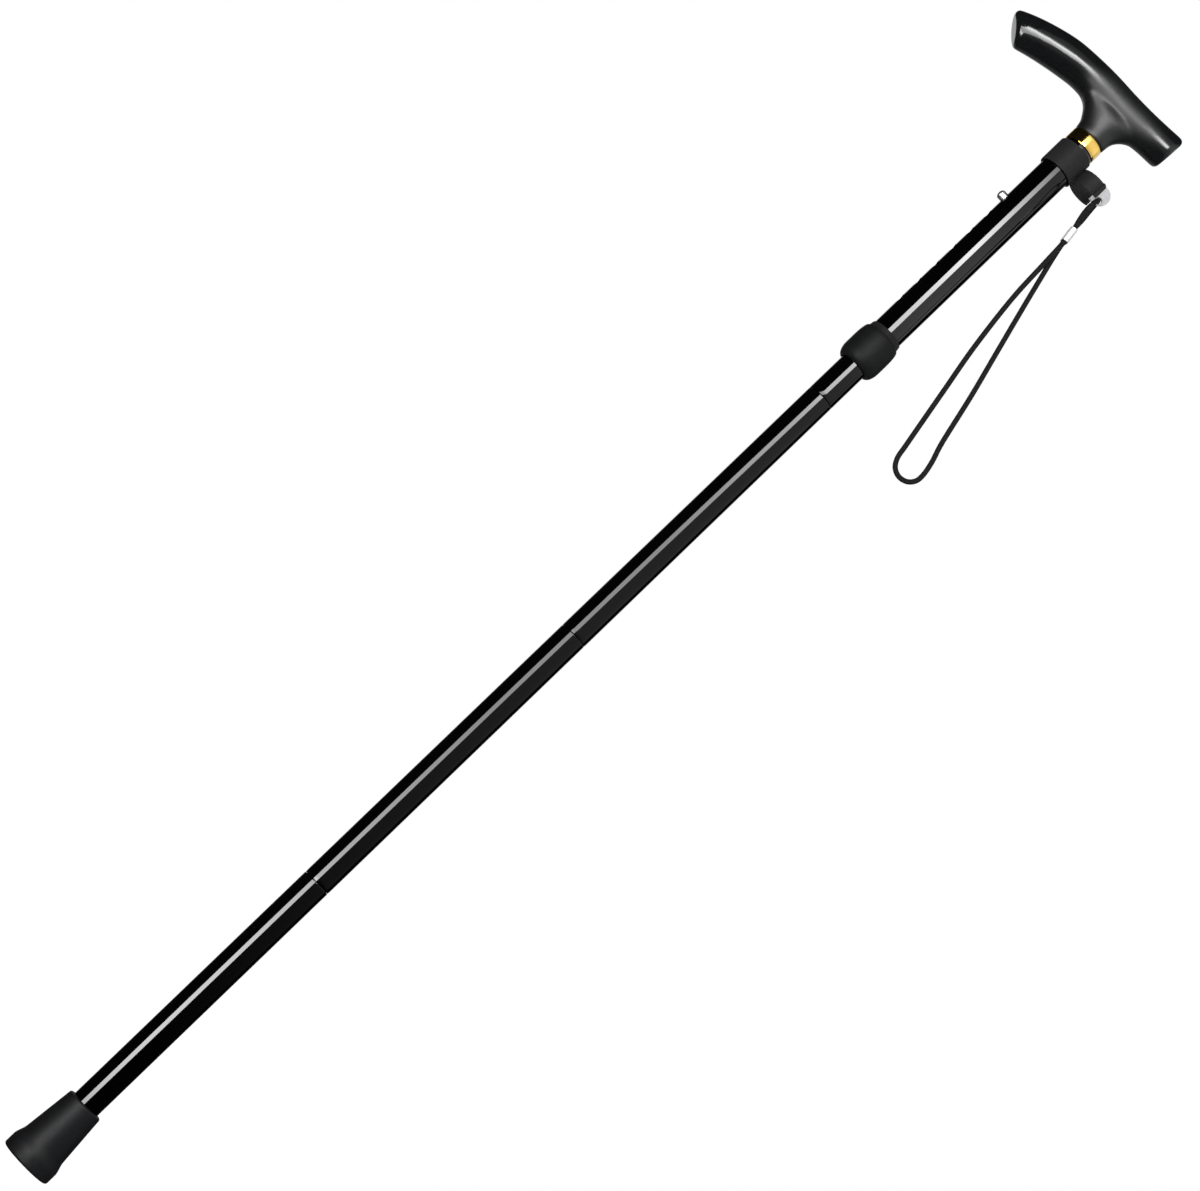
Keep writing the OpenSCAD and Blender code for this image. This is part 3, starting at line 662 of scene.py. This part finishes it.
enamel = gloss_black_enamel()
upper_bore = UPPER_R - WALL
upper_profile = np.vstack([plain_end(upper_bore, UPPER_R, UPPER_LOW.z, UPPER_LOW.z + END_L),
                           plain_end(UPPER_R, upper_bore, UPPER_HIGH.z, UPPER_HIGH.z - END_L)])
hole_heights = BUTTON_Z - HOLE_PITCH * np.arange(HOLE_COUNT)
tube_piece("upper_shaft_tube", upper_profile, "upper_tube", "handle", [peg_tool(hole_heights, 2 * UPPER_R)])
inner_profile = np.vstack([rolled_rim(SECTION_R, BORE_R, SEAMS[0]),
                           plain_end(SECTION_R, BORE_R, INNER_HIGH.z, INNER_HIGH.z - END_L)])
tube_piece("inner_shaft_tube", inner_profile, "inner_tube", "inner", [peg_tool([BUTTON_Z], 2 * SECTION_R)])
for i, (level, foot) in enumerate(zip(("upper", "middle", "lower"), (*SEAMS[1:], LOWER_FOOT))):
    section_profile = np.vstack([rolled_rim(SECTION_R, BORE_R, foot), fold_nose(SEAMS[i])])
    tube_piece(f"{level}_fold_tube", section_profile, f"{level}_section", f"section_{i + 1}")


# Turned fittings. A pair gives the width and height of an ellipse or of a groove.

COLLAR_BORE_R = 6.55 * MM
COLLAR_CROWN = 0.03 * MM
COLLAR_EDGE = 0.8 * MM
COLLAR_BELLY = 6 * MM
NUT_FOOT = np.array([3.6, 7.5]) * MM
NUT_SHOULDER = np.array([1.35, 10]) * MM
NUT_THREAD_R = 11.7 * MM
NUT_MOUTH_R = 9.3 * MM
NUT_SEAT = 2.2 * MM
NUT_THREAD_FOOT = 7 * MM
NUT_TAPER = 0.8 * MM
TIP_RIM_R = 11.7 * MM
TIP_BAND = 7.5 * MM
TIP_FLARE = 8 * MM
TIP_STEP = 1.3 * MM
TIP_EDGE = 1.6 * MM
TIP_FLOOR = 12 * MM
TIP_CLEAR = 0.05 * MM
SOLE_SHARES = (0.72, 0.45)
GROOVE = np.array([1.6, 1.2]) * MM
BUTTON_R = 3 * MM
BUTTON_DOME = 2 * MM
BUTTON_FLANGE = 1.2 * MM
BUTTON_TURNS = 64
CLIP_CELL = 0.25 * MM
TAB_CELL = 0.2 * MM
CLIP_ROUNDS = 6


def collar_profile():
    """A ring with a barely crowned side and rounded edges."""
    radius, low, high = COLLAR_HIGH.x, COLLAR_LOW.z, COLLAR_HIGH.z
    edge, belly = radius - COLLAR_CROWN, [radius, (low + high) / 2]
    corners = [[COLLAR_BORE_R, low], [edge, low], belly, [edge, high], [COLLAR_BORE_R, high]]
    return rounded(corners, [0, COLLAR_EDGE, COLLAR_BELLY, COLLAR_EDGE, 0], 8)


def nut_profile():
    """A barrel: a quarter ellipse below, a longer shallower one above, and the bore with its seat inside."""
    radius, low, high = NUT_HIGH.x, NUT_LOW.z, NUT_HIGH.z
    seat = low + NUT_SEAT
    below = arc((radius - NUT_FOOT[0], low + NUT_FOOT[1]), NUT_FOOT, -90, 0, 14)
    above = arc((radius - NUT_SHOULDER[0], high - NUT_SHOULDER[1]), NUT_SHOULDER, 0, 90, 14)
    inside = [[NUT_THREAD_R, high], [NUT_THREAD_R, low + NUT_THREAD_FOOT], [NUT_THREAD_R - NUT_TAPER, seat],
              [NUT_MOUTH_R, seat], [NUT_MOUTH_R, low]]
    return np.vstack([below, above, inside])


def tip_profile():
    """A cone whose foot swings out to a band by half a cosine wave, with a rounded rim and a grooved sole."""
    radius, high = TIP_HIGH.x, TIP_HIGH.z
    t = np.linspace(0, 1, 16)
    height = TIP_BAND + t * TIP_FLARE
    cone = TIP_RIM_R + (radius - TIP_STEP - TIP_RIM_R) * (high - height) / (high - TIP_BAND)
    flare = np.stack([cone + TIP_STEP * (1 + np.cos(math.pi * t)) / 2, height], 1)
    foot = arc((radius - TIP_EDGE, TIP_EDGE), (TIP_EDGE, TIP_EDGE), 0, -90, 8)[::-1]
    rim = arc((TIP_RIM_R - TIP_EDGE, high - TIP_EDGE), (TIP_EDGE, TIP_EDGE), 0, 90, 8)
    grooves = np.vstack([
        np.array([[share * radius, 0], [share * radius, GROOVE[1]], [share * radius + GROOVE[0], GROOVE[1]],
                  [share * radius + GROOVE[0], 0]]) for share in SOLE_SHARES[::-1]])
    socket = SECTION_R + TIP_CLEAR
    inside = [[socket, high], [socket, TIP_FLOOR], [0, TIP_FLOOR]]
    return np.vstack([[[0, 0]], grooves, foot, flare, rim, inside])


def button_profile():
    """A round pin whose outer end is a half ellipse and whose inner end carries a flange."""
    back, front = BUTTON_HIGH.x, BUTTON_HIGH.x - BUTTON_FLANGE
    flange = (BUTTON_HIGH.z - BUTTON_LOW.z) / 2
    dome = arc((0, BUTTON_LOW.x + BUTTON_DOME), (BUTTON_R, BUTTON_DOME), 0, -90, 10)
    return np.vstack([[[0, back], [flange, back], [flange, front], [BUTTON_R, front]], dome])


abs_black = matt_black_abs()
nut_plastic = matt_black_abs("fine-grained black nut plastic", "#151617", "#1d1e1f", 0.1)
inner_plastic = matt_black_abs("plain black moulded plastic", "#202021", "#2c2c2d")
steel = plain_steel()
piece("gold_collar", mesh_of("gold_collar", [lathe(collar_profile())]), polished_gold(), "handle",
      ["brass_collar"])
piece("barrel_nut", mesh_of("barrel_nut", [lathe(nut_profile())]), nut_plastic, "nut",
      ["locking_nut"])
piece("flared_tip", mesh_of("flared_tip", [lathe(tip_profile(), closed=False)]), black_rubber(), "section_3",
      ["rubber_tip"])
button_mesh = mesh_of("domed_button", [lathe(button_profile(), BUTTON_TURNS, False, "X")])
button_mesh.transform(Matrix.Translation((0, 0, BUTTON_Z)))
button_steel = plain_steel("tumbled bright steel", "#e6e7e9", 0.34, 0.46)
piece("domed_button", button_mesh, button_steel, "button", ["snap_button"])

# The leaf spring sits between the tube and the button; its copy stays where the frame puts it
leaf = piece("folded_leaf_spring", node_copy("button_spring"), steel, None)
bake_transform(leaf)
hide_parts("button_spring")

# Clip and tab
moulded_copy("moulded_clip", "storage_clip", abs_black, "clip", CLIP_CELL, CLIP_ROUNDS)
tab_nylon = light_grey_nylon()
moulded_copy("strap_loop_tab", "strap_tab", tab_nylon, "clip", TAB_CELL, CLIP_ROUNDS)

# Finishes of the frame's own nodes
NODE_FINISHES = {
    "collet_sleeve": inner_plastic, "handle_plug": inner_plastic, "upper_cord_anchor": inner_plastic,
    "lower_cord_anchor": inner_plastic, "handle_screw": steel, "tip_washer": steel,
}
for node, material in NODE_FINISHES.items():
    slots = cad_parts[node].data.materials
    slots.clear()
    slots.append(material)

# Shock cord: one length through all sections, drawn as straight pieces on the shaft's axis
SHOCK_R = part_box("cord_link_1")[1].x
SHOCK_SIDES = 20
BEND_TOP, BEND_LOW = 12 * MM, 10 * MM
JOIN = 26 * MM
BEND_LENGTH = 46 * MM
BEND_POINTS = 60
KNOT_BACK = 4.2 * MM
KNOT_POINTS = 120
KNOT_R = 0.62 * SHOCK_R
KNOT_LOOP = 1.1
KNOT_DEPTH = 0.9
KNOT_CORD_R = 0.7 * SHOCK_R
shock_finish = braided_cord("grey-flecked braided shock cord", "#1a1a1c", "#4a4a4e", 10, 3.2 * MM)


def straight_cord(name, heights, lengths=None):
    """A length of shock cord on the shaft's axis, with a ring of points at each height."""
    path = np.stack([np.zeros(len(heights)), np.zeros(len(heights)), heights], 1)
    mesh = cord_mesh(name, path, SHOCK_R, SHOCK_SIDES, lengths)
    return piece(name, mesh, shock_finish, None, sharp=CORD_CREASE)


def knot(name, height, body):
    """A tight overhand knot: a tube along a trefoil, cosine and sine of two and three turns."""
    turn = np.linspace(0, math.tau, KNOT_POINTS)
    path = np.stack([KNOT_R * (np.sin(turn) + KNOT_LOOP * np.sin(2 * turn)),
                     KNOT_R * (np.cos(turn) - KNOT_LOOP * np.cos(2 * turn)),
                     height - KNOT_DEPTH * KNOT_R * np.sin(3 * turn)], 1)
    piece(name, cord_mesh(name, path, KNOT_CORD_R), shock_finish, body, sharp=CORD_CREASE)


cord_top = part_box("shock_cord_1")[1].z - KNOT_BACK
cord_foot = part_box("shock_cord_4")[0].z + KNOT_BACK
CORD_ENDS = [cord_top, (SEAMS[0] + SEAMS[1]) / 2, (SEAMS[1] + SEAMS[2]) / 2, cord_foot]
for i, seam in enumerate(SEAMS):
    stretch = straight_cord(f"shock_cord_stretch_{i + 1}", np.linspace(CORD_ENDS[i], seam + JOIN, 40))
    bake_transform(stretch)
    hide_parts(f"cord_link_{i + 1}", *(["shock_cord_1"] if i == 0 else []))
    bend = np.linspace(seam + BEND_TOP, seam + BEND_LOW, BEND_POINTS)
    heights = np.concatenate([np.linspace(seam + JOIN, seam + BEND_TOP, 8)[:-1], bend,
                              np.linspace(seam + BEND_LOW, CORD_ENDS[i + 1], 12)[1:]])
    bends = (heights[:-1] <= bend[0]) & (heights[1:] >= bend[-1])
    lengths = np.where(bends, BEND_LENGTH / (BEND_POINTS - 1), -np.diff(heights))
    turned = straight_cord(f"shock_cord_bend_{i + 1}", heights, lengths)
    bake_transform(turned)
    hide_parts(f"shock_cord_{i + 2}")
knot("upper_cord_knot", cord_top, "inner")
knot("lower_cord_knot", cord_foot, "section_3")


# Floor, world, screens and lamps

FLOOR_Z = -0.2
FLOOR_HALF = 30.0
PAPER_GLOW = 1.12
PAPER_SHARE = 0.85
SKY_STRENGTH = 0.55
SCREEN_R = 1.35
FRONT_SCREEN_R = 1.33
SCREEN_HEIGHTS = (-0.6, 2.4)
SCREEN_ROWS, SCREEN_COLUMNS = 61, 40
LID_POINTS = 65


def add_floor():
    """A pale floor that looks white to the camera, below the reach of the drawn-out tubes."""
    mesh = bpy.data.meshes.new("floor")
    half, low = FLOOR_HALF, FLOOR_Z
    corners = [(-half, -half, low), (half, -half, low), (half, half, low), (-half, half, low)]
    mesh.from_pydata(corners, [], [(0, 1, 2, 3)])
    floor = bpy.data.objects.new("floor", mesh)
    bpy.context.scene.collection.objects.link(floor)
    floor.visible_glossy = False
    material, tree, shader = finish_of("white seamless paper", "#ffffff", 0.9)
    ray = add(tree, "ShaderNodeLightPath")
    white = add(tree, "ShaderNodeEmission", {"Color": (1, 1, 1, 1), "Strength": PAPER_GLOW})
    seen = add(tree, "ShaderNodeMath", {0: ray.outputs["Is Camera Ray"], 1: PAPER_SHARE},
               operation="MULTIPLY")
    mix = add(tree, "ShaderNodeMixShader", {0: seen.outputs[0], 1: shader.outputs[0], 2: white.outputs[0]})
    tree.links.new(mix.outputs[0], tree.nodes["Material Output"].inputs["Surface"])
    mesh.materials.append(material)


def add_world():
    """White to the camera and to mirror and glass rays, and a plain grey sky for the light itself."""
    world = bpy.data.worlds.new("studio")
    bpy.context.scene.world = world
    world.use_nodes = True
    tree = world.node_tree
    tree.nodes.clear()
    ray = add(tree, "ShaderNodeLightPath")
    first = add(tree, "ShaderNodeMath", {0: ray.outputs["Is Camera Ray"], 1: ray.outputs["Is Glossy Ray"]},
                operation="MAXIMUM")
    seen = add(tree, "ShaderNodeMath", {0: first.outputs[0], 1: ray.outputs["Is Transmission Ray"]},
               operation="MAXIMUM")
    sky = add(tree, "ShaderNodeBackground", {"Color": (1, 1, 1, 1), "Strength": SKY_STRENGTH})
    white = add(tree, "ShaderNodeBackground", {"Color": (1, 1, 1, 1), "Strength": 1.0})
    mix = add(tree, "ShaderNodeMixShader", {0: seen.outputs[0], 1: sky.outputs[0], 2: white.outputs[0]})
    add(tree, "ShaderNodeOutputWorld", {"Surface": mix.outputs[0]})


def add_lamp(name, place, target, width, height, watts):
    """A rectangular lamp that faces a point, with its height upright; the screens give the reflections."""
    data = bpy.data.lights.new(name, "AREA")
    data.shape = "RECTANGLE"
    data.size, data.size_y, data.energy = width, height, watts
    lamp = bpy.data.objects.new(name, data)
    lamp.location = place
    lamp.rotation_euler = (Vector(target) - Vector(place)).to_track_quat("-Z", "Y").to_euler()
    lamp.visible_glossy = False
    bpy.context.scene.collection.objects.link(lamp)


def mirror_only(name, grid, material):
    """A grid of points as a stage screen that only mirror rays see."""
    mesh = bpy.data.meshes.new(name)
    mesh.from_pydata(grid.reshape(-1, 3).tolist(), [], grid_faces(*grid.shape[:2], False, False).tolist())
    screen = bpy.data.objects.new(name, mesh)
    bpy.context.scene.collection.objects.link(screen)
    mesh.materials.append(material)
    for ray in ("camera", "diffuse", "transmission", "volume_scatter", "shadow"):
        setattr(screen, "visible_" + ray, False)


def add_screen(name, left, right, material, radius=SCREEN_R):
    """Part of a round screen: a point is the radius times the sine and minus the cosine of its azimuth.

    Its two edges are azimuths in degrees, from the camera's side to the right: one number, or rows of
    (height, azimuth) for an edge that leans.
    """
    height = np.linspace(*SCREEN_HEIGHTS, SCREEN_ROWS)
    edges = [np.interp(height, *np.transpose(edge)) if np.ndim(edge) else np.full(SCREEN_ROWS, edge)
             for edge in (left, right)]
    angle = np.radians(np.linspace(*edges, SCREEN_COLUMNS, axis=1))
    x, y = radius * np.sin(angle), -radius * np.cos(angle)
    mirror_only(name, np.stack([x, y, np.broadcast_to(height[:, None], x.shape)], -1), material)


def add_lid(name, height, material):
    """A level disc that closes the round screen above or below: radius times the turn's cosine and sine."""
    turn = np.linspace(0, math.tau, LID_POINTS)[None, :]
    reach = np.array([[0.0], [SCREEN_R]])
    x, y = reach * np.cos(turn), reach * np.sin(turn)
    mirror_only(name, np.stack([x, y, np.full_like(x, height)], -1), material)


def black_velvet():
    """A screen that gives back almost nothing."""
    return finish_of("black velvet screen", "#020202", 1.0)[0]


def lit_screen(name, stops):
    """A glowing screen whose strength follows its height by a list of (height in metres, strength)."""
    material, tree, _ = finish_of(name, "#000000", 1.0)
    height = add(tree, "ShaderNodeSeparateXYZ", {"Vector": place_of(tree)}).outputs["Z"]
    low, high = stops[0][0], stops[-1][0]
    share = add(tree, "ShaderNodeMapRange", {"Value": height, "From Min": low, "From Max": high})
    peak = max(strength for _, strength in stops)
    ramp = add(tree, "ShaderNodeValToRGB", {"Fac": share.outputs["Result"]})
    elements = ramp.color_ramp.elements
    for k, (place, strength) in enumerate(stops):
        at = (place - low) / (high - low)
        stop = elements[k] if k < 2 else elements.new(at)
        stop.position = at
        stop.color = (*[strength / peak] * 3, 1)
    glow = add(tree, "ShaderNodeEmission", {"Color": ramp.outputs["Color"], "Strength": peak})
    tree.links.new(glow.outputs[0], tree.nodes["Material Output"].inputs["Surface"])
    return material


add_floor()
add_world()

# The strip's line gives its azimuth at each height; the lists below give a screen's strength at each height
STRIP_LINE = np.array([[-0.6, -27], [0, -26], [0.5, -24], [0.76, -19], [0.94, -8], [1.05, -3], [2.4, -3]])
STRIP_HALF = np.array([0, 15])
SOFT_END, RIGHT_END, BACK_END, LEFT_END = 105, 150, 190, 210
STRIP_STRENGTHS = [(-0.6, 2), (-0.12, 4), (-0.03, 14), (0.04, 16), (0.15, 15), (0.31, 10), (0.49, 6.5),
                   (0.76, 6.5), (0.94, 9.5), (1.01, 13), (1.12, 16), (1.21, 23), (1.3, 10), (1.36, 2.2),
                   (1.42, 1.6), (1.5, 0.6), (2.4, 0.2)]
SOFT_STRENGTHS = [(-0.6, 0), (0.04, 0), (0.31, 0.15), (0.63, 0.33), (0.94, 0.48), (1.02, 0.5), (1.12, 1),
                  (1.22, 1), (1.34, 0.6), (1.38, 1.2), (1.5, 0.8), (2.4, 0.4)]
BACK_STRENGTHS = [(-0.6, 0.15), (0.3, 0.2), (0.8, 0.45), (1, 0.65), (1.4, 0.65), (2.4, 0.3)]
RIGHT_EDGE_STRENGTHS = [(-0.6, 0), (1.34, 0), (1.375, 0.8), (1.48, 0.8), (1.6, 0), (2.4, 0)]
LEFT_BACK_STRENGTHS = [(-0.6, 0.15), (0.5, 0.3), (0.8, 1.1), (1.2, 1.1), (1.4, 0.7), (2.4, 0.3)]
velvet = black_velvet()
add_screen("left_dark_screen", LEFT_END - 360, STRIP_LINE, velvet)
add_screen("strip_screen", STRIP_LINE - STRIP_HALF, STRIP_LINE + STRIP_HALF,
           lit_screen("strip of light", STRIP_STRENGTHS), FRONT_SCREEN_R)
add_screen("right_soft_screen", STRIP_LINE, SOFT_END, lit_screen("soft panel", SOFT_STRENGTHS))
add_screen("right_edge_screen", SOFT_END, RIGHT_END, lit_screen("soft edge panel", RIGHT_EDGE_STRENGTHS))
add_screen("back_soft_screen", RIGHT_END, BACK_END, lit_screen("soft back panel", BACK_STRENGTHS))
add_screen("left_back_screen", BACK_END, LEFT_END, lit_screen("soft left back panel", LEFT_BACK_STRENGTHS))
for name, height in zip(("lower_dark_lid", "upper_dark_lid"), SCREEN_HEIGHTS):
    add_lid(name, height, velvet)
MIDDLE = (0, 0, 0.45)
add_lamp("right softbox", (1.7, -1.2, 1.0), MIDDLE, 1.0, 1.6, 14)
add_lamp("left softbox", (-1.7, -1.3, 1.2), MIDDLE, 1.0, 1.4, 10)
bpy.context.scene.view_settings.view_transform = "Standard"
